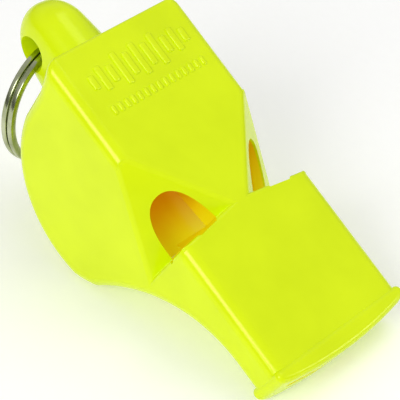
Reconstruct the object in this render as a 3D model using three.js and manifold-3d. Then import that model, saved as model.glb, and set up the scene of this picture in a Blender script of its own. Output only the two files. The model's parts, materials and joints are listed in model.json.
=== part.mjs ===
// Pealess training whistle: three plastic mouldings welded together, and a split ring through the lug.
//
// Each moulding is drawn in the whistle's own level frame, in millimetres: X runs from the back edge of
// the flat top (x = 0) to the mouth end, Y runs across, and the flat top is the plane z = 0. The last
// lines pitch the whistle nose down, as it lies on a table on its belly and its lip, with +Z up.

import * as THREE from 'three';
import { ConvexGeometry } from 'three/addons/geometries/ConvexGeometry.js';
import { mergeVertices } from 'three/addons/utils/BufferGeometryUtils.js';
import Module from 'manifold-3d';

const wasm = await Module();
wasm.setup();

// ---- Driving dimensions (mm) ----

const gap = 0.3;                              // clearance between neighbouring pieces
const bodyWidth = 22.8;
const edgeRadius = 1.1;                       // rounding where the sides meet the top and the belly
const wall = 1.6;                             // side and back walls
const topWall = 1.5;
const bellyWall = 1.3;

const bellyX = 17;                            // axis of the round belly
const bellyZ = -7.35;
const bellyRadius = 15.3;
const backMid = { x: 1.5, z: -5 };             // the back is very slightly hollow
const backDeg = 192;                          // where the straight back meets the round belly
const splitDeg = 218;                         // rear joint between body and belly moulding
const bellyEndDeg = 283;                      // where the round belly gives way to the labium
const noseThickness = 5.8;                    // mouthpiece, top to underside

const lipBack = 45.2;                         // bite ridge: a bar across the mouth end
const lipFront = 47.9;
const lipRise = 0.35;                         // how far it stands proud above and below
const lipSide = 0.15;                         // and at each side
const lipEdge = 0.8;                          // rounding of its edges
const lipCorner = 1.6;                        // its front turns back over this much of each end
const lipSetback = 0.45;
const lipArcRadius = 64;                      // its front is a shallow arc in plan

const lugWidth = 7.4;
const lugRadius = 4.9;                       // round end of the lug
const lugX = -4.6;
const lugZ = -10.45;
const lugEdge = 3.4;                          // rounding of its long edges
const lugTaper = 0.03;                        // widening towards the body, per mm
const lugTopSlopeDeg = 5.6;
const lugBottomSlopeDeg = 5;
const holeX = -4.75;                          // cross hole for the ring
const holeZ = -11.9;
const holeRadius = 1.65;                      // narrowest, at mid-width
const holeMouthRadius = 2.4;

const wireAxial = 0.8;                        // split ring: thickness of one turn
const wireRadial = 1.05;
const wireCorner = 0.3;
const turnPitch = 1.0;                        // spacing of the two turns
const ringRadius = 8.05;                      // to the middle of the wire
const ringDrop = 0.6;                         // the wire hangs this far below the hole's axis
const ringTurnDeg = 5;                        // it hangs turned this much about the vertical
const stepOverDeg = 36;                       // arc in which the wire crosses to its second turn
const stepOverAtDeg = 60;                     // place of the crossing, from the lowest point

const bulkheadBack = 27.4;                    // wall in front of the upper chambers
const bulkheadFront = 28.9;
const upperSlotFloor = -2.7;                  // upper windways, one each side, under the top wall
const upperSlotInner = 4.6;
const upperSlotOuter = 9.4;
const tongueFloor = -3.5;                     // lower windway runs under the tongue
const lowerSlotFloor = bellyWall - noseThickness;
const lowerSlotHalf = 4;
const cavityFront = 43.9;                     // the slots are cut through the solid lip beyond this
const chamberFloor = -10.2;
const plateThickness = 1;
const webHalf = 0.6;                          // half the wall between the two upper chambers
const coreHalf = 4.3;                         // half the block between the two upper windways
const lowerWindow = { back: 24.4, front: 31, half: 4.5 };

// Corner facet: a flat from A on the side edge to the foot of the step, B on top and C on the side.
const facetA = new THREE.Vector3(13.8, -11.4, 0);
const facetB = new THREE.Vector3(26, -1.4, 0);
const facetC = new THREE.Vector3(27.6, -11.4, -9.1);
const stepCorner = new THREE.Vector3(27.4, -11.4, 0);
const facetWall = 1.4;

// The window's arch on the facet: across from the middle of the step's foot, and up from the foot.
const windowSideFoot = -3.1;
const windowTopFoot = 4.2;
const windowSill = -0.35;                     // it is notched into the step's edge
const windowCrown = new THREE.Vector2(0.95, 7.05);

// ---- Helpers ----

function toSolid(geometry) {
  const bare = geometry.clone();
  bare.deleteAttribute('normal');
  bare.deleteAttribute('uv');
  const merged = mergeVertices(bare, 1e-4);
  const vertProperties = new Float32Array(merged.attributes.position.array);
  const triVerts = new Uint32Array(merged.index.array);
  return new wasm.Manifold(new wasm.Mesh({ numProp: 3, vertProperties, triVerts }));
}

function toMesh(name, solid, material) {
  const result = solid.getMesh();
  const geometry = new THREE.BufferGeometry();
  geometry.setAttribute('position', new THREE.BufferAttribute(result.vertProperties, 3));
  geometry.setIndex(new THREE.BufferAttribute(result.triVerts, 1));
  geometry.computeVertexNormals();
  const mesh = new THREE.Mesh(geometry, material);
  mesh.name = name;
  return mesh;
}

function point(x, z) {
  return new THREE.Vector2(x, z);
}

// A side-view outline made solid across the whistle, centred on y = 0, with rounded side edges.
function acrossGeometry(points, width, rounding = 0) {
  const depth = width - 2 * rounding;
  const geometry = new THREE.ExtrudeGeometry(new THREE.Shape(points), {
    depth,
    bevelEnabled: rounding > 0,
    bevelThickness: rounding,
    bevelSize: rounding,
    bevelOffset: -rounding,
    bevelSegments: 4,
  });
  geometry.translate(0, 0, -depth / 2);
  geometry.rotateX(Math.PI / 2);
  return geometry;
}

function across(points, width, rounding) {
  return toSolid(acrossGeometry(points, width, rounding));
}

function block(x0, x1, y0, y1, z0, z1) {
  const geometry = new THREE.BoxGeometry(x1 - x0, y1 - y0, z1 - z0);
  geometry.translate((x0 + x1) / 2, (y0 + y1) / 2, (z0 + z1) / 2);
  return toSolid(geometry);
}

// The same block on both sides of the middle.
function blockPair(x0, x1, y0, y1, z0, z1) {
  return block(x0, x1, y0, y1, z0, z1).add(block(x0, x1, -y1, -y0, z0, z1));
}

// Points of an arc in the side view, angles in degrees counter-clockwise from +X.
function arc(x, z, radius, fromDeg, toDeg, steps) {
  const points = [];
  for (let i = 0; i <= steps; i += 1) {
    const angle = THREE.MathUtils.degToRad(fromDeg + ((toDeg - fromDeg) * i) / steps);
    points.push(point(x + radius * Math.cos(angle), z + radius * Math.sin(angle)));
  }
  return points;
}

// A path moved to its left by a distance.
function offsetPath(points, distance) {
  return points.map((here, i) => {
    const before = points[Math.max(i - 1, 0)];
    const after = points[Math.min(i + 1, points.length - 1)];
    const along = after.clone().sub(before).normalize();
    return point(here.x - along.y * distance, here.y + along.x * distance);
  });
}

// ---- Underside of the whistle, from the back of the belly to the mouthpiece ----

function underside(startDeg, steps) {
  const belly = arc(bellyX, bellyZ, bellyRadius, startDeg, bellyEndDeg, steps);
  const noseStart = point(23.5, -20);
  const labium = new THREE.QuadraticBezierCurve(belly.at(-1), point(21.7, -21.7), noseStart);
  const nose = new THREE.CubicBezierCurve(
    noseStart,
    point(27, -12.45),
    point(33.2, -6.05),
    point(41.5, -noseThickness),
  );
  return [...belly, ...labium.getPoints(4).slice(1), ...nose.getPoints(18).slice(1)];
}

// Everything above the belly moulding's inner surface, with the clearance.
function aboveBelly() {
  const inner = offsetPath(underside(splitDeg, 24), bellyWall + gap);
  const end = inner.at(-1).y;
  return across([...inner, point(60, end), point(60, 10), point(-20, 10), point(-20, inner[0].y)], 40);
}

// ---- Corner facets and their windows ----

const facetFoot = facetB.clone().add(facetC).multiplyScalar(0.5);
const facetAcross = facetB.clone().sub(facetC).normalize();
const facetOut = facetB.clone().sub(facetA).cross(facetAcross).normalize();
const facetUp = facetOut.clone().cross(facetAcross);

// The corner cut off between the facet and the step, or its copy sunk by an inset and reaching further.
function facetCut(inset, reach) {
  const sink = facetOut.clone().multiplyScalar(-inset).addScaledVector(facetUp, -reach);
  const overshoot = 5;
  const corners = [
    facetA.clone().addScaledVector(facetUp, overshoot + reach).add(sink),
    facetB.clone().addScaledVector(facetAcross, overshoot).add(sink),
    facetC.clone().addScaledVector(facetAcross, -overshoot).add(sink),
    stepCorner.clone().lerp(facetFoot, -2).add(sink),
  ];
  return toSolid(new ConvexGeometry(corners));
}

function windowShape() {
  const shape = new THREE.Shape();
  const { x, y } = windowCrown;
  shape.moveTo(windowSideFoot, windowSill);
  shape.lineTo(windowTopFoot, windowSill);
  shape.bezierCurveTo(windowTopFoot, y * 0.6, x + 2.3, y, x, y);
  shape.bezierCurveTo(x - 2.5, y, windowSideFoot + 0.4, y * 0.5, windowSideFoot, windowSill);
  return shape;
}

// The arched window, cut straight through the facet's wall.
function windowCut() {
  const depth = facetWall * 3;
  const geometry = new THREE.ExtrudeGeometry(windowShape(), { depth, bevelEnabled: false, curveSegments: 14 });
  geometry.translate(0, 0, 0.2 - depth);
  const basis = new THREE.Matrix4().makeBasis(facetAcross, facetUp, facetOut);
  geometry.applyMatrix4(basis.setPosition(facetFoot));
  return toSolid(geometry);
}

// A cut on the near side together with its mirror image on the far side.
function bothSides(solid) {
  return solid.add(solid.mirror([0, 1, 0]));
}

// ---- Body moulding: top, sides, lug, bite ridge ----

function bodyBlank() {
  const outline = [
    ...underside(backDeg, 32),
    point(lipBack + 0.8, -noseThickness),
    point(lipBack + 0.8, 0),
    point(0, 0),
    point(backMid.x, backMid.z),
  ];
  return across(outline, bodyWidth, edgeRadius);
}

function biteRidge() {
  const half = bodyWidth / 2 + lipSide;
  const halfDeg = THREE.MathUtils.radToDeg(Math.asin((half - lipCorner) / lipArcRadius));
  const front = arc(lipFront - lipArcRadius, 0, lipArcRadius, -halfDeg, halfDeg, 10);
  const endX = front[0].x - lipSetback;
  const plan = new THREE.Shape([
    point(lipBack, half),
    point(lipBack, -half),
    point(endX, -half),
    ...front,
    point(endX, half),
  ]);
  const depth = noseThickness + 2 * lipRise - 2 * lipEdge;
  const geometry = new THREE.ExtrudeGeometry(plan, {
    depth,
    bevelEnabled: true,
    bevelThickness: lipEdge,
    bevelSize: lipEdge,
    bevelOffset: -lipEdge,
    bevelSegments: 4,
  });
  geometry.translate(0, 0, lipRise - lipEdge - depth);
  return toSolid(geometry);
}

// The lug is a rounded tongue that points back and down, a little wider towards the body.
function lugBlank() {
  const end = arc(lugX, lugZ, lugRadius, 90 + lugTopSlopeDeg, 270 - lugBottomSlopeDeg, 14);
  const rootX = 4;
  const topRise = (rootX - end[0].x) * Math.tan(THREE.MathUtils.degToRad(lugTopSlopeDeg));
  const bottomFall = (rootX - end.at(-1).x) * Math.tan(THREE.MathUtils.degToRad(lugBottomSlopeDeg));
  const outline = [
    point(rootX, end[0].y + topRise),
    ...end,
    point(rootX, end.at(-1).y - bottomFall),
  ];
  const geometry = acrossGeometry(outline, lugWidth, lugEdge);
  const position = geometry.attributes.position;
  for (let i = 0; i < position.count; i += 1) {
    const widening = 1 + lugTaper * (position.getX(i) - lugX);
    position.setY(i, position.getY(i) * widening);
  }
  return toSolid(geometry);
}

// The cross hole flares towards both mouths, because the ring that passes through it is curved.
function lugHole() {
  const reach = lugWidth / 2 + 1;
  const profile = [point(0, -reach)];
  const steps = 10;
  for (let i = 0; i <= steps; i += 1) {
    const y = reach * ((2 * i) / steps - 1);
    const flare = (holeMouthRadius - holeRadius) * (y / (lugWidth / 2)) ** 2;
    profile.push(point(holeRadius + flare, y));
  }
  profile.push(point(0, reach));
  const geometry = new THREE.LatheGeometry(profile, 32);
  geometry.translate(holeX, 0, holeZ);
  return toSolid(geometry);
}

// The hollow inside, open underneath where the belly moulding closes it.
function cavity() {
  const innerRadius = bellyRadius - wall;
  const outline = [
    point(cavityFront, -topWall),
    point(1.8, -topWall),
    ...arc(bellyX, bellyZ, innerRadius, 180, splitDeg, 10),
    ...arc(bellyX, bellyZ, bellyRadius + 4, splitDeg, splitDeg + 10, 1),
    point(cavityFront, bellyZ - bellyRadius - 4),
  ];
  const hollow = across(outline, bodyWidth - 2 * wall);
  const bulkheads = blockPair(bulkheadBack, bulkheadFront, upperSlotInner, bodyWidth / 2, -20, 0);
  const closed = bulkheads.intersect(aboveBelly());
  return hollow.subtract(bothSides(facetCut(facetWall, 1.5))).subtract(closed);
}

// The slots that let the breath in through the lip, and out of the two steps.
function windwaySlots() {
  const mouth = lipFront + 1;
  const upper = [upperSlotInner, upperSlotOuter, upperSlotFloor, -topWall];
  const upperMouth = blockPair(cavityFront - 1, mouth, ...upper);
  const upperExit = blockPair(bulkheadBack - 2, bulkheadFront + 0.1, ...upper);
  const lowerMouth = block(cavityFront - 1, mouth, -lowerSlotHalf, lowerSlotHalf, lowerSlotFloor, tongueFloor);
  return upperMouth.add(upperExit).add(lowerMouth);
}

function bodyMoulding(material) {
  const solid = bodyBlank()
    .add(lugBlank())
    .add(biteRidge())
    .subtract(bothSides(facetCut(0, 0)))
    .subtract(cavity())
    .subtract(bothSides(windowCut()))
    .subtract(windwaySlots())
    .subtract(lugHole());
  return toMesh('body_moulding', solid, material);
}

// ---- Belly moulding: the curved floor of the whistle, set between the side walls ----

function bellyMoulding(material) {
  const gapDeg = THREE.MathUtils.radToDeg(gap / bellyRadius);
  const outer = [...underside(splitDeg + gapDeg, 24), point(cavityFront - gap, -noseThickness)];
  const inner = offsetPath(outer, bellyWall).reverse();
  const plate = across([...outer, ...inner], bodyWidth - 2 * (wall + gap));
  const { back, front, half } = lowerWindow;
  const solid = plate.subtract(block(back, front, -half, half, -25, 0));
  return toMesh('belly_moulding', solid, material);
}

// ---- Windway core: chamber floor, middle wall and the tongue between the windways ----

function windwayCore(material) {
  const half = bodyWidth / 2 - wall - gap;
  const top = -topWall - gap;
  const front = cavityFront - gap;
  const floorBottom = chamberFloor - plateThickness;
  const floor = block(4.6, 26.4, -half, half, floorBottom, chamberFloor);
  const web = across(
    [point(2.3, top), point(3.9, bellyZ), point(4.7, chamberFloor - 0.4), point(28, chamberFloor + 2.5), point(28, top)],
    2 * webHalf,
  );
  const core = across(
    [
      point(bulkheadBack + gap, top),
      point(bulkheadBack + gap, chamberFloor + 2),
      point(25.5, chamberFloor),
      point(25.5, floorBottom),
      point(27.2, floorBottom),
      point(30.4, -7.4),
      point(37, tongueFloor),
      point(front, tongueFloor),
      point(front, top),
    ],
    2 * coreHalf,
  );
  const tongue = block(bulkheadFront + gap, front, -half, half, tongueFloor, upperSlotFloor);
  const ribs = blockPair(31.3, front, lowerSlotHalf, lowerSlotHalf + 1.2, -8, tongueFloor + 0.2);
  const solid = floor.add(web).add(core).add(tongue).add(ribs.intersect(aboveBelly()));
  return toMesh('windway_core', solid, material);
}

// ---- Split ring: one flat wire in two turns ----

// The wire's route: round once, across to the second turn, and round again.
class SplitRingRoute extends THREE.Curve {
  getPoint(t, target = new THREE.Vector3()) {
    const startDeg = stepOverDeg / 2;
    const turned = startDeg + t * (720 - stepOverDeg);
    const crossing = THREE.MathUtils.smoothstep(turned, 360 - stepOverDeg / 2, 360 + stepOverDeg / 2);
    const angle = THREE.MathUtils.degToRad(turned + stepOverAtDeg);
    return target.set(
      ringRadius * Math.cos(angle),
      ringRadius * Math.sin(angle),
      (crossing - 0.5) * turnPitch,
    );
  }
}

function wireSection() {
  const a = wireAxial / 2;
  const b = wireRadial / 2;
  const c = wireCorner;
  return new THREE.Shape([
    point(a, c - b),
    point(a, b - c),
    point(a - c, b),
    point(c - a, b),
    point(-a, b - c),
    point(-a, c - b),
    point(c - a, -b),
    point(a - c, -b),
  ]);
}

function splitRing(material) {
  const geometry = new THREE.ExtrudeGeometry(wireSection(), {
    steps: 110,
    extrudePath: new SplitRingRoute(),
  });
  return toMesh('split_ring', toSolid(geometry), material);
}

// ---- Materials ----

const glossPlastic = (color) => new THREE.MeshStandardMaterial({ color, roughness: 0.25, metalness: 0 });
const nickelPlate = new THREE.MeshStandardMaterial({ color: 0xb9bcb4, roughness: 0.18, metalness: 1 });

// ---- Assembly: laid on a table on the belly and the lip, with the ring hanging ----

const lipCentre = point(lipFront - lipEdge, lipEdge - lipRise - noseThickness);
const toLip = lipCentre.clone().sub(point(bellyX, bellyZ));
const restPitch = toLip.angle() + Math.asin((bellyRadius - lipEdge) / toLip.length());

const mouldings = new THREE.Group();
mouldings.add(bodyMoulding(glossPlastic(0xdcf012)));
mouldings.add(bellyMoulding(glossPlastic(0xd6ea10)));
mouldings.add(windwayCore(glossPlastic(0xe0d800)));
mouldings.rotation.y = restPitch;

const ring = splitRing(nickelPlate);
ring.position.set(holeX, 0, holeZ).applyAxisAngle(new THREE.Vector3(0, 1, 0), restPitch);
ring.position.z -= ringDrop + ringRadius;
ring.rotation.set(0, Math.PI / 2, 0);
ring.rotateOnWorldAxis(new THREE.Vector3(0, 0, 1), THREE.MathUtils.degToRad(ringTurnDeg));

const whistle = new THREE.Group();
whistle.add(mouldings, ring);

// The origin is the middle of the footprint, on the table.
const bounds = new THREE.Box3().setFromObject(whistle, true);
whistle.position.set(-(bounds.min.x + bounds.max.x) / 2, 0, -bounds.min.z);

export default whistle;
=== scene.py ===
# %% [markdown]
# # A pealess training whistle
# This lesson dresses a finished engineering model of a whistle. The engineering model is loaded as a
# fixed frame: it says how big each piece is and where it goes. Here each piece that shows is modelled
# again with soft, moulded edges, and is given the plastic or metal that the real one is made of.
# The real whistle is three ABS mouldings welded together, and a steel split ring.

import json
import math

import bpy
from mathutils import Matrix, Vector

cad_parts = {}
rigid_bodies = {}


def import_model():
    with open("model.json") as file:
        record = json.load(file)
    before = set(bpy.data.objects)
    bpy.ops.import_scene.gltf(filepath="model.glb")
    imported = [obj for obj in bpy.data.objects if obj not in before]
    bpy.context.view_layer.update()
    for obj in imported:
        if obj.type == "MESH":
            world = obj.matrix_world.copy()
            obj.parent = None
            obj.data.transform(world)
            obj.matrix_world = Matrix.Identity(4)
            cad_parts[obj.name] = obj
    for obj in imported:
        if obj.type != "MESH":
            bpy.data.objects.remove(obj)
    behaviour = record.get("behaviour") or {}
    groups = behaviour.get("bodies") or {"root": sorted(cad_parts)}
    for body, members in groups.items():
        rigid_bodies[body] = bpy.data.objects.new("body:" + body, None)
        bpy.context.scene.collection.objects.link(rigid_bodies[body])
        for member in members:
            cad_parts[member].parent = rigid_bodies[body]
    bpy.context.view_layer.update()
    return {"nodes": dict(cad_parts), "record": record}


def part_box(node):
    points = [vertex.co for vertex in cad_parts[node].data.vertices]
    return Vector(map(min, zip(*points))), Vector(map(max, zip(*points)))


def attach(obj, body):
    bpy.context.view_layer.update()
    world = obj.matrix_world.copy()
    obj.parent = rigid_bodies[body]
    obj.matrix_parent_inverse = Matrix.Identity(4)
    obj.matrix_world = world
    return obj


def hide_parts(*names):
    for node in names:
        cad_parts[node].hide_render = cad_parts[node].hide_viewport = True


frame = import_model()

# %% [markdown]
# The whistle rests nose down on its belly and its lip, so its flat top slopes. It is easier to model it
# level and in millimetres, with the top at z = 0 and x = 0 at the rear edge, and to lay it down at the
# end. The frame's record holds a point on the top and the direction the top faces, and those two give
# the matrix that takes the level whistle to the resting one.

# %% The level whistle and its resting place
MM = 0.001
top = next(m for m in frame["record"]["mounts"] if m["name"] == "top_face")
pitch = math.atan2(top["axis"][0], top["axis"][2])
top_point = Vector((17, 0, 0))               # the record's point, seen on the level whistle
rest = (
    Matrix.Translation(Vector(top["pos_m"]))
    @ Matrix.Rotation(pitch, 4, "Y")
    @ Matrix.Scale(MM, 4)
    @ Matrix.Translation(-top_point)
)
print("nose down", round(math.degrees(pitch), 2), "degrees")

# %% [markdown]
# These are the sizes of the mouldings, in millimetres: a round belly, a thin mouthpiece with a bite lip
# across its end, and a lug at the back. Places on the belly are given as angles about its centre. Two
# small functions turn angles and curve handles into places.

# %% Sizes
width = 22.8
wall = 1.6
top_wall = 1.5
belly_wall = 1.3
belly = Vector((17, 0, -7.35))
belly_radius = 15.3
nose_thickness = 5.8
lip_back, lip_front = 45.2, 47.9
gap = 0.3                                    # between mouldings that touch
belly_start = 192                            # degrees, where the back meets the belly
belly_parting = 218                          # degrees, where the belly plate begins
belly_end = 283                              # degrees, where the underside turns sharply
bulkhead_back, bulkhead_front = 27.4, 28.9
slot_near, slot_far = 4.6, 9.4               # the upper breath slots, from the middle plane


def polar(centre, radius, degrees):
    """A point on a circle in the side view."""
    angle = math.radians(degrees)
    return Vector((centre.x + radius * math.cos(angle), 0, centre.z + radius * math.sin(angle)))


def bezier(points, t):
    """A point on a curve drawn with two, three or four handles."""
    while len(points) > 1:
        points = [a.lerp(b, t) for a, b in zip(points, points[1:])]
    return points[0]


print("the belly starts at", [round(v, 1) for v in polar(belly, belly_radius, belly_start)], "mm")

# %% [markdown]
# Most pieces of the whistle are a side view made thick, which is how a mould is cut. In Blender that is
# a single vertex, extruded along the outline step by step, filled with a face, and extruded across.
# One helper does that, so each piece below is a list of places the vertex goes to. The others apply a
# modifier, cut or join with a Boolean, mirror a tool, and merge and count what a Boolean leaves behind.

# %% Outlines made thick
def clear_selection():
    """Leaves edit mode and deselects everything, the frame's own pieces too."""
    if bpy.context.object and bpy.context.object.mode != "OBJECT":
        bpy.ops.object.mode_set(mode="OBJECT")
    bpy.ops.object.select_all(action="DESELECT")


def pick(obj):
    """Makes this the one selected and active object."""
    clear_selection()
    obj.select_set(True)
    bpy.context.view_layer.objects.active = obj


def outline_solid(name, points, half_width):
    """Walks one vertex along the outline, fills it, and pulls the face across the whistle."""
    clear_selection()
    bpy.ops.mesh.primitive_plane_add(size=1, location=(0, 0, 0))
    obj = bpy.context.object
    obj.name = name
    bpy.ops.object.mode_set(mode="EDIT")
    bpy.ops.mesh.select_all(action="SELECT")
    bpy.ops.mesh.merge(type="CENTER")
    here = Vector(points[0])
    bpy.ops.transform.translate(value=here + Vector((0, -half_width, 0)))
    for point in points[1:]:
        bpy.ops.mesh.extrude_region_move(TRANSFORM_OT_translate={"value": Vector(point) - here})
        here = Vector(point)
    bpy.ops.mesh.select_all(action="SELECT")
    bpy.ops.mesh.edge_face_add()
    bpy.ops.mesh.extrude_region_move(TRANSFORM_OT_translate={"value": (0, 2 * half_width, 0)})
    bpy.ops.mesh.select_all(action="SELECT")
    bpy.ops.mesh.normals_make_consistent(inside=False)
    bpy.ops.object.mode_set(mode="OBJECT")
    return obj


def apply_modifier(obj, kind, **settings):
    """Adds a modifier with its settings and applies it at once."""
    pick(obj)
    modifier = obj.modifiers.new(kind.title(), kind)
    for key, value in settings.items():
        setattr(modifier, key, value)
    bpy.ops.object.modifier_apply(modifier=modifier.name)


def close_up(obj):
    """Merges points that lie on each other, to 2 microns."""
    pick(obj)
    bpy.ops.object.mode_set(mode="EDIT")
    bpy.ops.mesh.select_all(action="SELECT")
    bpy.ops.mesh.remove_doubles(threshold=0.002)
    bpy.ops.object.mode_set(mode="OBJECT")


def carve(obj, tool, operation="DIFFERENCE"):
    """Cuts a tool's shape out of a piece, or adds it, and puts the tool away."""
    apply_modifier(obj, "BOOLEAN", operation=operation, object=tool, solver="EXACT")
    bpy.data.objects.remove(tool)


def mirrored(obj):
    """A copy on the other side of the whistle, with its own mesh."""
    pick(obj)
    bpy.ops.object.duplicate()
    twin = bpy.context.object
    twin.scale.y = -1
    bpy.ops.object.transform_apply(location=False, rotation=False, scale=True)
    bpy.ops.object.mode_set(mode="EDIT")
    bpy.ops.mesh.select_all(action="SELECT")
    bpy.ops.mesh.normals_make_consistent(inside=False)
    bpy.ops.object.mode_set(mode="OBJECT")
    return twin


def open_edges(obj):
    """How many edges don't join exactly two faces; a closed solid has none."""
    uses = {}
    for face in obj.data.polygons:
        for key in face.edge_keys:
            uses[key] = uses.get(key, 0) + 1
    return sum(1 for n in uses.values() if n != 2)


# %% [markdown]
# The underside runs round the belly, turns sharply at the voicing edge, and sweeps up under the
# mouthpiece. It is used three times, for the body, for the belly piece and for the hollow inside, so
# it is written once as a function.

# %% The underside
def underside(start, steps):
    """Places along the underside, from an angle on the belly to the mouthpiece."""
    step = (belly_end - start) / steps
    round_part = [polar(belly, belly_radius, start + step * i) for i in range(steps + 1)]
    edge = Vector((23.5, 0, -20))
    voicing = [round_part[-1], Vector((21.7, 0, -21.7)), edge]
    nose = [
        edge,
        Vector((27, 0, -12.45)),
        Vector((33.2, 0, -6.05)),
        Vector((41.5, 0, -nose_thickness)),
    ]
    return (
        round_part
        + [bezier(voicing, i / 8) for i in range(1, 9)]
        + [bezier(nose, i / 36) for i in range(1, 37)]
    )


def shifted(path, distance):
    """The same path moved to its inner side."""
    moved = []
    for i, here in enumerate(path):
        along = (path[min(i + 1, len(path) - 1)] - path[max(i - 1, 0)]).normalized()
        moved.append(here + Vector((-along.z, 0, along.x)) * distance)
    return moved


mouth_end = lip_back + 0.8                    # inside the lip
back = [Vector((0, 0, 0)), Vector((1.5, 0, -5))]
mouth = [Vector((mouth_end, 0, -nose_thickness)), Vector((mouth_end, 0, 0))]
body = outline_solid("whistle_body", underside(belly_start, 48) + mouth + back, width / 2)
print("body blank:", len(body.data.vertices), "vertices,", open_edges(body), "open edges")

# %% [markdown]
# Each front corner of the belly is cut off by a flat facet that meets the mouthpiece at a step. A
# tetrahedron-shaped tool cuts it: the facet is one of its faces, the step another. The same tool, sunk
# by the wall thickness, later keeps the hollow inside away from the facet.

# %% The corner facets
facet_a = Vector((13.8, -11.4, 0))           # on the side edge
facet_b = Vector((26, -1.4, 0))              # on top
facet_c = Vector((27.6, -11.4, -9.1))        # on the side
step_corner = Vector((27.4, -11.4, 0))
facet_foot = (facet_b + facet_c) / 2
facet_across = (facet_b - facet_c).normalized()
facet_out = (facet_b - facet_a).cross(facet_across).normalized()
facet_up = facet_out.cross(facet_across)


def facet_tool(inset=0, reach=0):
    """The corner that is cut off, or its copy sunk by an inset and reaching further back."""
    sink = facet_out * -inset - facet_up * reach
    past = 5                                 # how far the tool sticks out of the body
    corners = [
        facet_a + facet_up * (past + reach) + sink,
        facet_b + facet_across * past + sink,
        facet_c - facet_across * past + sink,
        step_corner.lerp(facet_foot, -2) + sink,
    ]
    clear_selection()
    bpy.ops.mesh.primitive_cone_add(vertices=3, radius1=1, depth=1)
    tool = bpy.context.object
    for vertex, corner in zip(tool.data.vertices, corners):
        vertex.co = corner
    bpy.ops.object.mode_set(mode="EDIT")
    bpy.ops.mesh.select_all(action="SELECT")
    bpy.ops.mesh.normals_make_consistent(inside=False)
    bpy.ops.object.mode_set(mode="OBJECT")
    return tool


near_corner = facet_tool()
far_corner = mirrored(near_corner)
carve(body, near_corner)
carve(body, far_corner)
print("after the facets:", len(body.data.vertices), "vertices,", open_edges(body), "open edges")

# %% [markdown]
# A moulded edge is never sharp. The Bevel modifier can round each edge by its own amount, if the edge
# carries a weight: the long side edges are rounded by 1.7 mm, the facet and step edges by a third of
# that or less. The weights are set edge by edge, from the faces that meet there. The mouth end gets
# none, because the lip will cover it.

# %% Round the moulded edges
far_out = Vector((facet_out.x, -facet_out.y, facet_out.z))


def edge_weight(turn, middle, normals):
    """The share of the full rounding, from how far the faces turn, and from where the edge is."""
    on_side = any(abs(n.y) > 0.99 for n in normals)
    on_facet = any(n.dot(facet_out) > 0.99 or n.dot(far_out) > 0.99 for n in normals)
    on_step = any(n.x < -0.97 and 26 < middle.x < 28 for n in normals)
    if turn < math.radians(25) or middle.x > mouth_end - 0.1:
        return 0
    if on_facet and on_step:
        return 0.09
    if on_step:
        return 0.3
    if on_facet:
        return 0.3
    return 1 if on_side else 0.4


def weigh_edges(obj):
    """Gives every edge its bevel weight."""
    mesh = obj.data
    faces_of = {}
    for face in mesh.polygons:
        for key in face.edge_keys:
            faces_of.setdefault(key, []).append(face.normal)
    weights = mesh.attributes.new("bevel_weight_edge", "FLOAT", "EDGE")
    for edge in mesh.edges:
        one, other = faces_of[edge.key]
        middle = (mesh.vertices[edge.vertices[0]].co + mesh.vertices[edge.vertices[1]].co) / 2
        weights.data[edge.index].value = edge_weight(one.angle(other), middle, (one, other))


weigh_edges(body)
side_rounding = 1.7
apply_modifier(body, "BEVEL", width=side_rounding, segments=8, limit_method="WEIGHT",
               use_clamp_overlap=True, miter_outer="MITER_SHARP")
print("rounded:", len(body.data.vertices), "vertices,", open_edges(body), "open edges")

# %% [markdown]
# The lip is a bar across the mouth end, made to sit behind the teeth. It is drawn from above, with a
# bowed front and corners set back a little, stood up, and bevelled almost to a half round.
# The lug is a tongue drawn like the body, but bevelled so far that it is nearly round in section. It
# also grows a little wider towards the body, as a moulding does so that it can leave its mould.

# %% The bite lip and the lug
lip_half = width / 2 + 0.15
lip_bow = 64                                 # radius of the bowed front
lip_corner, lip_setback, lip_rise = 1.6, 0.45, 0.35
front = [
    Vector((lip_front - lip_bow + math.sqrt(lip_bow ** 2 - y * y), y, 0))
    for y in [(lip_half - lip_corner) * (i / 12 * 2 - 1) for i in range(13)]
]
end_x = front[0].x - lip_setback
plan = (
    [Vector((lip_back, lip_half, 0)), Vector((lip_back, -lip_half, 0)), Vector((end_x, -lip_half, 0))]
    + front
    + [Vector((end_x, lip_half, 0))]
)
lip = outline_solid("lip", [Vector((p.x, 0, p.y)) for p in plan], nose_thickness / 2 + lip_rise)
pick(lip)
lip.rotation_euler = (math.pi / 2, 0, 0)
lip.location.z = -nose_thickness / 2
bpy.ops.object.transform_apply(location=True, rotation=True, scale=True)
apply_modifier(lip, "BEVEL", width=1.28, segments=8, limit_method="ANGLE",
               angle_limit=math.radians(30))
close_up(lip)
print("lip from", round(min(v.co.x for v in lip.data.vertices), 2), "to",
      round(max(v.co.x for v in lip.data.vertices), 2), "mm")

lug_centre = Vector((-4.6, 0, -10.45))
lug_radius = 4.9
lug_half = 3.7
root = 4                                     # the lug starts inside the body, at this x
top_slope, low_slope = 5.6, 5                # degrees
from_top, to_low = 90 + top_slope, 270 - low_slope
lug_end = [polar(lug_centre, lug_radius, from_top + (to_low - from_top) * i / 20) for i in range(21)]
rise = (root - lug_end[0].x) * math.tan(math.radians(top_slope))
fall = (root - lug_end[-1].x) * math.tan(math.radians(low_slope))
lug_top = Vector((root, 0, lug_end[0].z + rise))
lug_low = Vector((root, 0, lug_end[-1].z - fall))
lug = outline_solid("lug", [lug_top] + lug_end + [lug_low], lug_half)
apply_modifier(lug, "BEVEL", width=3.4, segments=12, limit_method="ANGLE",
               angle_limit=math.radians(60))
taper = 0.03                                 # wider per mm towards the body
for vertex in lug.data.vertices:
    vertex.co.y *= 1 + taper * (vertex.co.x - lug_centre.x)
print("lug:", len(lug.data.vertices), "vertices,", open_edges(lug), "open edges")
carve(body, lip, "UNION")
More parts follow.
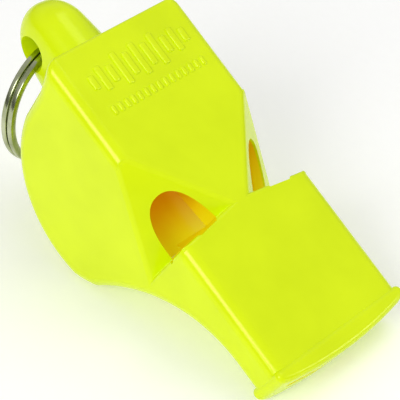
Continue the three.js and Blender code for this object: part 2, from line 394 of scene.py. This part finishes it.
carve(body, lug, "UNION")
print("with lip and lug:", len(body.data.vertices), "vertices,", open_edges(body), "open edges")

# %% [markdown]
# The body moulding is hollow and open underneath. Two walls, the bulkheads, stay in front of the two
# upper chambers, with a slot in each for the breath. The hollow is cut with a tool that carries a
# second material, so that the inside walls can carry a painted glow: painted light, orange in the
# deep shade and yellow near the windows.

# %% Hollow it out
def box_tool(x0, x1, y0, y1, z0, z1):
    """A box between two corners, for cutting."""
    clear_selection()
    bpy.ops.mesh.primitive_cube_add(size=1, location=((x0 + x1) / 2, (y0 + y1) / 2, (z0 + z1) / 2))
    tool = bpy.context.object
    tool.scale = (x1 - x0, y1 - y0, z1 - z0)
    bpy.ops.object.transform_apply(location=True, rotation=True, scale=True)
    return tool


cavity_front = 43.9
inner_radius = belly_radius - wall
below = belly_radius + 4                     # past the underside, which is open
inside_back = [polar(belly, inner_radius, 180 + (belly_parting - 180) * i / 16) for i in range(17)]
hollow = outline_solid(
    "hollow",
    [Vector((cavity_front, 0, -top_wall)), Vector((1.8, 0, -top_wall))]
    + inside_back
    + [polar(belly, below, belly_parting), polar(belly, below, belly_parting + 10)]
    + [Vector((cavity_front, 0, belly.z - below))],
    width / 2 - wall,
)
near_corner = facet_tool(1.4, 1.5)
far_corner = mirrored(near_corner)
carve(hollow, near_corner)
carve(hollow, far_corner)
above_belly = shifted(underside(belly_parting, 24), belly_wall + gap)
for side in (-1, 1):
    edges = sorted((slot_near * side, 12 * side))
    bulkhead = box_tool(bulkhead_back, bulkhead_front, *edges, -20, 5)
    room = outline_solid(
        "room",
        above_belly + [Vector((60, 0, above_belly[-1].z)), Vector((60, 0, 10)), Vector((-20, 0, 10)),
                       Vector((-20, 0, above_belly[0].z))],
        20,
    )
    carve(bulkhead, room, "INTERSECT")
    carve(hollow, bulkhead)
print("hollow:", len(hollow.data.vertices), "vertices,", open_edges(hollow), "open edges")

# %% [markdown]
# The windows are arches on the facets. Each is a flat arch, pulled to a thickness, and then stood on its
# facet by a matrix. A second arch that leans with the step's face cuts a shallow notch into the step's
# edge, where the air leaves. The slots for the breath are plain boxes, and the cross hole is a cylinder
# flared at both ends, because the ring that passes through it is curved. Whatever the breath touches
# gets the second material, and the notches and the hole keep the outer one.

# %% Windows, slots and the cross hole
def arch_tool(sill, inner, outer, lean):
    """The arch from a depth under the facet to a height over it, leaning with the step's face."""
    crown, low, high = Vector((0.95, 0, 7.05)), -3.1, 4.2
    right = [
        Vector((high, 0, sill)),
        Vector((high, 0, crown.z * 0.6)),
        Vector((crown.x + 2.3, 0, crown.z)),
        crown,
    ]
    left = [
        crown,
        Vector((crown.x - 2.5, 0, crown.z)),
        Vector((low + 0.4, 0, crown.z * 0.5)),
        Vector((low, 0, sill)),
    ]
    arch = [bezier(right, i / 20) for i in range(21)] + [bezier(left, i / 20) for i in range(1, 21)]
    tool = outline_solid("arch", arch, (outer - inner) / 2)
    for vertex in tool.data.vertices:
        vertex.co.y -= (outer + inner) / 2
        vertex.co.z -= lean * min(vertex.co.y, 0)
    # across stays across, the arch's height runs up the facet, and its thickness runs through the wall
    stand = Matrix((facet_across, -facet_out, facet_up)).transposed().to_4x4()
    tool.data.transform(Matrix.Translation(facet_foot) @ stand)
    return tool


def hole_tool():
    """A cylinder across the lug, bisected into rings that widen towards its ends."""
    radius, mouth_radius, reach = 1.65, 2.4, 4.7
    clear_selection()
    bpy.ops.mesh.primitive_cylinder_add(vertices=48, radius=radius, depth=2 * reach,
                                        location=(0, 0, 0), rotation=(math.pi / 2, 0, 0))
    tool = bpy.context.object
    bpy.ops.object.transform_apply(location=True, rotation=True, scale=True)
    bpy.ops.object.mode_set(mode="EDIT")
    for i in range(1, 12):
        bpy.ops.mesh.select_all(action="SELECT")
        bpy.ops.mesh.bisect(plane_co=(0, reach * (i / 6 - 1), 0), plane_no=(0, 1, 0))
    bpy.ops.object.mode_set(mode="OBJECT")
    for vertex in tool.data.vertices:
        flare = 1 + (mouth_radius / radius - 1) * (vertex.co.y / lug_half) ** 2
        vertex.co.x *= flare
        vertex.co.z *= flare
    tool.data.transform(Matrix.Translation(Vector((-4.75, 0, -11.9))))
    return tool


slot_floor = -2.7
past_lip = lip_front + 1
inside_tools = [hollow]
near_arch = arch_tool(-0.35, -4.0, 0.2, 0)
inside_tools += [near_arch, mirrored(near_arch)]
near_notch = arch_tool(-0.4, -0.3, 4.2, 0.42)
outside_tools = [near_notch, mirrored(near_notch), hole_tool()]
for x0, x1 in ((cavity_front - 1, past_lip), (25.4, 29.0)):
    for y0, y1 in ((slot_near, slot_far), (-slot_far, -slot_near)):
        inside_tools.append(box_tool(x0, x1, y0, y1, slot_floor, -top_wall))
inside_tools.append(box_tool(cavity_front - 1, past_lip, -4, 4, belly_wall - nose_thickness, -3.5))
outer_skin = bpy.data.materials.new("moulded_abs_fluorescent_yellow")
# the inside material is painted light, a glow from orange painted shade to yellow
painted_glow_skin = bpy.data.materials.new("abs_inside_painted_glow")
body.data.materials.append(outer_skin)
body.data.materials.append(painted_glow_skin)
for tool in inside_tools:
    tool.data.materials.append(outer_skin)
    tool.data.materials.append(painted_glow_skin)
    for face in tool.data.polygons:
        face.material_index = 1
    carve(body, tool)
for tool in outside_tools:
    carve(body, tool)
print("body:", len(body.data.vertices), "vertices,", open_edges(body), "open edges,",
      sum(f.material_index for f in body.data.polygons), "inside faces")

# %% [markdown]
# The belly moulding is a curved plate, let in between the side walls, with the lower window cut in it.
# Its outline is the underside and the same path shifted inwards by the plate's thickness.

# %% The belly plate
plate_start = belly_parting + math.degrees(gap / belly_radius)
outer = underside(plate_start, 40) + [Vector((cavity_front - gap, 0, -nose_thickness))]
inner = shifted(outer, belly_wall)[::-1]
plate = outline_solid("whistle_belly", outer + inner, width / 2 - wall - gap)
carve(plate, box_tool(24.4, 31, -4.5, 4.5, -25, 0))
apply_modifier(plate, "BEVEL", width=0.15, segments=2, limit_method="ANGLE",
               angle_limit=math.radians(50))
plate.data.materials.append(outer_skin)
print("belly plate:", len(plate.data.vertices), "vertices,", open_edges(plate), "open edges")

# %% [markdown]
# The top carries raised marks: a row of bars like a sound wave, with a row of pips in front of it. Each
# is a cube stretched to its own length, bevelled nearly to a half round, and sunk into the top by half
# its height. They are joined into one piece, because in the mould they are cut as one.

# %% Raised marks on the top
mark_height = 0.5


def raised_mark(x0, x1, y, across):
    """A rounded bar on the top, from x0 to x1, centred on y."""
    mark = box_tool(x0, x1, y - across / 2, y + across / 2, -mark_height / 2, mark_height / 2)
    apply_modifier(mark, "BEVEL", width=min(across * 0.45, 0.24), segments=5, limit_method="NONE")
    return mark


bar_lengths = [2.0, 3.4, 2.4, 4.6, 3.2, 4.6, 3.2, 4.6, 2.4, 3.4, 2.0]
bar_pitch, pip_pitch = 1.55, 1.1
bar_row, row_middle = 5.2, 0.4               # x and y of the middle of the bars
marks = []
for i, length in enumerate(bar_lengths):
    y = (i - 5) * bar_pitch + row_middle
    marks.append(raised_mark(bar_row - length / 2, bar_row + length / 2, y, 0.95))
for i in range(15):
    marks.append(raised_mark(8.6, 9.9, (i - 7) * pip_pitch + row_middle, 0.62))
clear_selection()
for mark in marks:
    mark.select_set(True)
bpy.context.view_layer.objects.active = marks[0]
bpy.ops.object.join()
marks = bpy.context.object
marks.name = "whistle_raised_marks"
marks.data.materials.append(outer_skin)
print("raised marks:", len(bar_lengths), "bars and 15 pips,", open_edges(marks), "open edges")

# %% [markdown]
# The mouldings are finished, so they are laid down. The turn goes into the mesh itself and each object
# stays at the origin. Smooth shading by angle keeps the real corners crisp, and the Weighted Normal
# modifier lets the large flat faces decide the shading, as a bevelled moulding needs. Each piece then
# rides on the whistle, and the body and the plate take the place of the frame's plain ones.

# %% Lay the mouldings on the table
for piece in (body, plate, marks):
    close_up(piece)
    piece.data.transform(rest)
    bpy.ops.object.shade_smooth_by_angle(angle=math.radians(30))
    apply_modifier(piece, "WEIGHTED_NORMAL", keep_sharp=True, weight=60)
    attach(piece, "whistle")
    print(piece.name, open_edges(piece), "open edges")
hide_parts("body_moulding")
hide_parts("belly_moulding")

# %% [markdown]
# The split ring is one flat spring-steel wire wound twice round. Its section is a small face with
# rounded corners. Spin turns that face a few degrees about the ring's axis and leaves a wall behind;
# after each step the face is moved a little along the axis where the wire crosses to the second turn.

# %% Wind the split ring
ring_radius = 8.05
wire_axial, wire_radial = 0.78, 1.0
turn_pitch = 1.0
step_over = 36
wound = 720 - step_over
steps = 171


def crossing(turned):
    """How far the wire has crossed to the second turn, from -0.5 to 0.5 of the pitch."""
    t = min(max((turned - 360 + step_over / 2) / step_over, 0), 1)
    return (t * t * (3 - 2 * t) - 0.5) * turn_pitch


clear_selection()
bpy.ops.mesh.primitive_plane_add(size=1, location=(0, 0, 0))
ring = bpy.context.object
ring.name = "steel_split_ring"
for vertex in ring.data.vertices:
    vertex.co = Vector((vertex.co.x * wire_radial + ring_radius, 0, vertex.co.y * wire_axial + crossing(0)))
bpy.ops.object.mode_set(mode="EDIT")
bpy.ops.mesh.select_all(action="SELECT")
bpy.ops.mesh.bevel(affect="VERTICES", offset=0.22, segments=4)
bpy.ops.mesh.select_all(action="SELECT")
for i in range(steps):
    before = crossing(step_over / 2 + wound * i / steps)
    after = crossing(step_over / 2 + wound * (i + 1) / steps)
    bpy.ops.mesh.spin(steps=1, angle=math.radians(wound / steps), center=(0, 0, 0), axis=(0, 0, 1))
    bpy.ops.transform.translate(value=(0, 0, after - before))
bpy.ops.mesh.select_all(action="SELECT")
bpy.ops.mesh.normals_make_consistent(inside=False)
bpy.ops.object.mode_set(mode="OBJECT")
print("ring:", len(ring.data.vertices), "vertices,", open_edges(ring), "open edges")

# %% [markdown]
# The ring hangs from the cross hole by its own weight, so it stands upright, turned a little about the
# vertical. Its middle is the middle of the frame's own ring. It is wound flat, so it is first turned
# to bring the step-over to its place, then stood up. The frame's own ring box is printed.

# %% Hang the ring
ring_low, ring_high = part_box("split_ring")
ring_middle = (Vector(ring_low) + Vector(ring_high)) / 2
ring_turn = math.radians(5)                  # about the vertical
step_over_at = 60                            # degrees round the ring
hang = (
    Matrix.Translation(ring_middle)
    @ Matrix.Rotation(ring_turn, 4, "Z")
    @ Matrix.Rotation(math.radians(90), 4, "Y")
    @ Matrix.Rotation(math.radians(step_over_at + step_over / 2), 4, "Z")
    @ Matrix.Scale(MM, 4)
)
ring.data.transform(hang)
pick(ring)
bpy.ops.object.shade_smooth_by_angle(angle=math.radians(40))
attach(ring, "ring")
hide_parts("split_ring")
print("ring of the frame ", [round(v * 1000, 2) for v in ring_low], "to",
      [round(v * 1000, 2) for v in ring_high], "mm")

# %% [markdown]
# Materials are node graphs. Colours are written as the hex values that a screen shows, which are not
# the amounts of light that the renderer works with, so one function turns them to linear. One more adds
# a node, sets its values and links its inputs. An input is named by its socket, with _ for a space, or
# by its number, as _0, where several sockets share a name.

# %% Colours and nodes
def linear(hex_colour):
    """An sRGB hex colour as linear red, green, blue and alpha."""
    parts = [int(hex_colour[i:i + 2], 16) / 255 for i in (1, 3, 5)]
    return [p / 12.92 if p <= 0.04045 else ((p + 0.055) / 1.055) ** 2.4 for p in parts] + [1]


def add_node(owner, kind, settings=(), **inputs):
    """Adds a node to a material or a world; an input is a value, or a link to an output socket."""
    node = owner.node_tree.nodes.new(kind)
    for key, value in dict(settings).items():
        setattr(node, key, value)
    for key, value in inputs.items():
        socket = node.inputs[int(key[1:])] if key[0] == "_" else node.inputs[key.replace("_", " ")]
        if isinstance(value, bpy.types.NodeSocket):
            owner.node_tree.links.new(value, socket)
        else:
            socket.default_value = value
    return node


def start(material):
    """Empties the material and gives back the coordinates of the piece, in metres."""
    material.use_nodes = True
    material.node_tree.nodes.clear()
    coordinates = add_node(material, "ShaderNodeTexCoord")
    return coordinates.outputs["Object"]


def finish_with(material, shader):
    """Links the shader to the material's output."""
    add_node(material, "ShaderNodeOutputMaterial", Surface=shader.outputs[0])
    print(material.name, "has", len(material.node_tree.nodes), "nodes")


# %% [markdown]
# The mouldings are ABS with a fluorescent yellow-green dye. The dye turns blue light into yellow light,
# so the plastic looks a little brighter than any paint could, which a weak emission stands for. The
# emission is partly painted light, as it glows evenly and lifts the shaded sides too. Its highlights
# look slightly yellow. The moulds were polished, so the gloss is high; what is left of their
# polishing is a faint unevenness that bends the reflections, about 5 mm wide, and fine pits of about
# 0.2 mm. The real pits are finer, and are drawn as coarse as they need to be to show.

# %% Fluorescent yellow ABS
place = start(outer_skin)
cloudy = add_node(outer_skin, "ShaderNodeTexNoise", Vector=place, Scale=140, Detail=3, Roughness=0.5)
tint = add_node(outer_skin, "ShaderNodeValToRGB", Fac=cloudy.outputs["Fac"])
tint.color_ramp.elements[0].position = 0.3
tint.color_ramp.elements[0].color = linear("#d3e800")
tint.color_ramp.elements[1].position = 0.7
tint.color_ramp.elements[1].color = linear("#dbf006")
wave = add_node(outer_skin, "ShaderNodeTexNoise", Vector=place, Scale=220, Detail=1, Roughness=0.4)
pits = add_node(outer_skin, "ShaderNodeTexNoise", Vector=place, Scale=5200, Detail=2, Roughness=0.6)
gloss = add_node(outer_skin, "ShaderNodeMapRange", Value=pits.outputs["Fac"], From_Min=0.3, From_Max=0.7,
                 To_Min=0.17, To_Max=0.27)
uneven = add_node(outer_skin, "ShaderNodeBump", Height=wave.outputs["Fac"], Strength=0.12, Distance=0.0004)
pitted = add_node(outer_skin, "ShaderNodeBump", Height=pits.outputs["Fac"], Strength=0.05, Distance=0.0001,
                  Normal=uneven.outputs["Normal"])
shader = add_node(
    outer_skin, "ShaderNodeBsdfPrincipled", Base_Color=tint.outputs["Color"],
    Roughness=gloss.outputs["Result"], IOR=1.54, Normal=pitted.outputs["Normal"],
    Specular_Tint=linear("#ffffb0"),
    # the weak emission is partly painted light: it glows evenly and lifts the shaded sides
    Emission_Color=linear("#e2ff10"), Emission_Strength=0.06,
)
finish_with(outer_skin, shader)

# %% [markdown]
# Inside the chambers light can only come in through the thin dyed walls and the windows, so the plastic
# looks orange where it is deep and turns to yellow towards the mouth. The real whistle is one plastic,
# but here the inside has a second material whose colour follows the distance from the back of the
# whistle. This is painted light: an orange painted shade deep inside turns to yellow painted light near
# the windows, and a weak emission makes it glow. A Mapping node turns the coordinates back to the level
# whistle for that. The windway core is kept from the frame as it is, and only takes this material.

# %% The glow inside
def paint_glow_inside(material):
    """Painted light: orange painted shade at the back of the windows, yellow at their front, and a glow."""
    place = start(material)
    level = add_node(material, "ShaderNodeMapping", Vector=place, Rotation=(0, -pitch, 0),
                     Location=rest.inverted().translation * MM)
    along = add_node(material, "ShaderNodeSeparateXYZ", Vector=level.outputs["Vector"])
    noise = add_node(material, "ShaderNodeTexNoise", Vector=place, Scale=180, Detail=3)
    shift = add_node(material, "ShaderNodeMath", {"operation": "MULTIPLY_ADD"},
                     _0=noise.outputs["Fac"], _1=0.003, _2=along.outputs["X"])
    part = add_node(material, "ShaderNodeMapRange", Value=shift.outputs[0], From_Min=0.017,
                    From_Max=0.0265)
    ramp = add_node(material, "ShaderNodeValToRGB", Fac=part.outputs["Result"])
    # painted light: orange for the deep painted shade, yellow near the windows
    ramp.color_ramp.elements[0].color = linear("#dc8000")
    ramp.color_ramp.elements[1].color = linear("#e4de04")
    middle = ramp.color_ramp.elements.new(0.5)
    middle.color = linear("#e0ae00")
    bump = add_node(material, "ShaderNodeBump", Height=noise.outputs["Fac"], Strength=0.15,
                    Distance=0.0005)
    shader = add_node(
        material, "ShaderNodeBsdfPrincipled", Base_Color=ramp.outputs["Color"],
        Roughness=0.35, IOR=1.54, Normal=bump.outputs["Normal"],
        # the emission makes the inside glow, painted light
        Emission_Color=ramp.outputs["Color"], Emission_Strength=0.2,
    )
    finish_with(material, shader)


paint_glow_inside(painted_glow_skin)
core = frame["nodes"]["windway_core"]
core.material_slots[0].material = painted_glow_skin

# %% [markdown]
# The ring is spring steel wire with a nickel plate. The wire was drawn through a die, so fine lines run
# along it, round the ring, about 0.1 mm apart. They follow the distance from the ring's middle, which a
# Mapping node centred on the ring gives. The plate is bright and slightly warm. Its colour here is
# darker and greener than nickel, a painted reflection of the dark tent and the yellow plastic, and it
# is stained a little in patches of 2 or 3 mm where hands have touched it.

# %% Nickel plated spring steel
nickel = bpy.data.materials.new("nickel_plated_spring_steel")
place = start(nickel)
centred = add_node(nickel, "ShaderNodeMapping", {"vector_type": "TEXTURE"}, Vector=place,
                   Location=ring_middle, Rotation=(0, 0, ring_turn))
parts = add_node(nickel, "ShaderNodeSeparateXYZ", Vector=centred.outputs["Vector"])
flat = add_node(nickel, "ShaderNodeCombineXYZ", X=parts.outputs["Y"], Y=parts.outputs["Z"])
radius = add_node(nickel, "ShaderNodeVectorMath", {"operation": "LENGTH"}, _0=flat.outputs["Vector"])
across = add_node(nickel, "ShaderNodeCombineXYZ", X=radius.outputs["Value"], Y=parts.outputs["X"])
lines = add_node(nickel, "ShaderNodeTexNoise", Vector=across.outputs["Vector"], Scale=9000, Detail=2)
stain = add_node(nickel, "ShaderNodeTexNoise", Vector=place, Scale=400, Detail=4)
# darker, green-tinted tone: painted reflection, with random stained patches
stain_and_reflection_tone = add_node(nickel, "ShaderNodeValToRGB", Fac=stain.outputs["Fac"])
stain_and_reflection_tone.color_ramp.elements[0].position = 0.35
stain_and_reflection_tone.color_ramp.elements[0].color = linear("#949c72")
stain_and_reflection_tone.color_ramp.elements[1].position = 0.65
stain_and_reflection_tone.color_ramp.elements[1].color = linear("#c6cbaa")
rough = add_node(nickel, "ShaderNodeMapRange", Value=lines.outputs["Fac"], From_Min=0.3, From_Max=0.7,
                 To_Min=0.1, To_Max=0.24)
drawn = add_node(nickel, "ShaderNodeBump", Height=lines.outputs["Fac"], Strength=0.1,
                 Distance=0.00005)
shader = add_node(nickel, "ShaderNodeBsdfPrincipled", Base_Color=stain_and_reflection_tone.outputs["Color"], Metallic=1.0,
                  Roughness=rough.outputs["Result"], Normal=drawn.outputs["Normal"])
finish_with(nickel, shader)
ring.data.materials.clear()
ring.data.materials.append(nickel)

# %% [markdown]
# The whistle lies on a plain white table in a light tent. The tent is bright overhead and dark near the
# table, which gives the metal something dark to reflect. The paper on the table glows a little, as it
# does with a lamp below it, so that the shadow stays light.

# %% The table and the light tent
clear_selection()
bpy.ops.mesh.primitive_plane_add(size=3, location=(0, 0, 0))
table_top = bpy.context.object
table_top.name = "pale_table"
paper = bpy.data.materials.new("matt_white_paper")
place = start(paper)
fibre = add_node(paper, "ShaderNodeTexNoise", Vector=place, Scale=900, Detail=3)
shade = add_node(paper, "ShaderNodeValToRGB", Fac=fibre.outputs["Fac"])
shade.color_ramp.elements[0].color = linear("#f4f4f2")
shade.color_ramp.elements[1].color = linear("#fbfbfa")
shader = add_node(paper, "ShaderNodeBsdfPrincipled", Base_Color=shade.outputs["Color"], Roughness=0.9,
                  Emission_Color=linear("#ffffff"), Emission_Strength=0.17)
finish_with(paper, shader)
table_top.data.materials.append(paper)

world = bpy.data.worlds.new("light_tent")
bpy.context.scene.world = world
world.use_nodes = True
tent = add_node(world, "ShaderNodeTexCoord")
height = add_node(world, "ShaderNodeSeparateXYZ", Vector=tent.outputs["Generated"])
cloth = add_node(world, "ShaderNodeValToRGB", Fac=height.outputs["Z"])
cloth.color_ramp.elements[0].position = 0.12
cloth.color_ramp.elements[0].color = (0.13, 0.13, 0.13, 1)
cloth.color_ramp.elements[1].position = 0.45
cloth.color_ramp.elements[1].color = (0.57, 0.57, 0.57, 1)
world.node_tree.links.new(cloth.outputs["Color"], world.node_tree.nodes["Background"].inputs["Color"])
print("the tent has", len(world.node_tree.nodes), "nodes")

# %% [markdown]
# Three square soft lamps face the whistle. The key lamp in front makes the near side the brightest and
# draws the long highlight on its rounded edge, the one past the mouth lights the lip and the front of
# the ring, and the top lamp fills the shadows.

# %% Lamps
def soft_lamp(name, place, size, power):
    """A square lamp that faces the whistle."""
    lamp = bpy.data.objects.new(name, bpy.data.lights.new(name, "AREA"))
    bpy.context.scene.collection.objects.link(lamp)
    lamp.data.size = size
    lamp.data.energy = power
    lamp.location = place
    lamp.rotation_euler = (Vector((0, 0, 0.015)) - Vector(place)).to_track_quat("-Z", "Y").to_euler()
    return lamp


soft_lamp("key_lamp", (0.11, -0.41, 0.30), 0.20, 1.05)
soft_lamp("mouth_lamp", (0.36, 0.30, 0.17), 0.14, 0.3)
soft_lamp("top_lamp", (0.02, 0.16, 0.55), 0.30, 0.45)

# %% [markdown]
# The camera looks down on the whistle from its near front corner through a long lens, which keeps the
# shape free of strong perspective. The Standard view shows colours as they are, where the default view
# would fade so strong a yellow.

# %% Camera
camera = bpy.data.objects.new("camera", bpy.data.cameras.new("camera"))
bpy.context.scene.collection.objects.link(camera)
camera.location = (0.125714, -0.145965, 0.159043)
camera.rotation_euler = [math.radians(a) for a in (52.48069, -2.956736, 42.380157)]
camera.data.lens = 177.6296
camera.data.sensor_width = 36
camera.data.clip_start = 0.01
bpy.context.scene.camera = camera
bpy.context.scene.view_settings.view_transform = "Standard"
print("camera", round(camera.location.length, 3), "m away")
